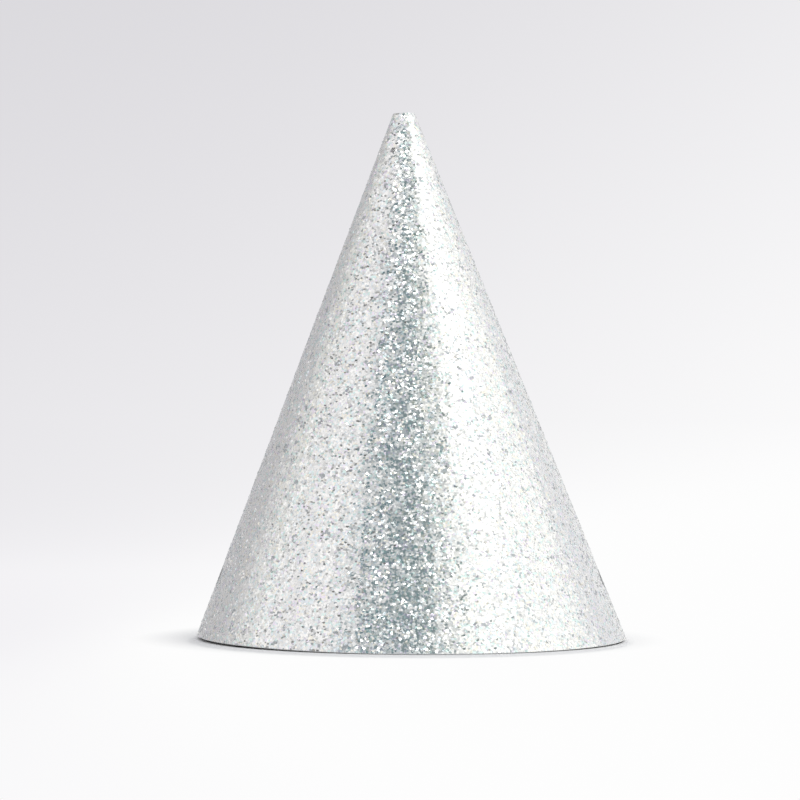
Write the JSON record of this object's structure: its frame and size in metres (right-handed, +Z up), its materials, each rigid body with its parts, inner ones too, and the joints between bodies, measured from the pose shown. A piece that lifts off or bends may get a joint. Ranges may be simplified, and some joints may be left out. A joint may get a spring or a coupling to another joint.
{
  "type": "party hat",
  "caption": "Cone party hat rolled from silver glitter card with a glued back seam, an open tip and punched holes for a chin cord.",
  "frame": {"origin": "where the axis of the rolled cone meets the table, in the middle of the rim", "axes": "+Z up to the tip; +Y towards the glued lap at the back; +X to the hat's right as seen from the front, with the cord holes near -X and +X"},
  "size_m": [0.1304, 0.1311, 0.1603],
  "materials": {
    "white_card": "matte",
    "silver_glitter": "silver glitter flakes in a clear binder",
    "clear_adhesive": "clear tacky film"
  },
  "bodies": {
    "root": {"card_cone": "white_card", "glitter_face": "silver_glitter", "seam_adhesive": "clear_adhesive"}
  },
  "joints": []
}
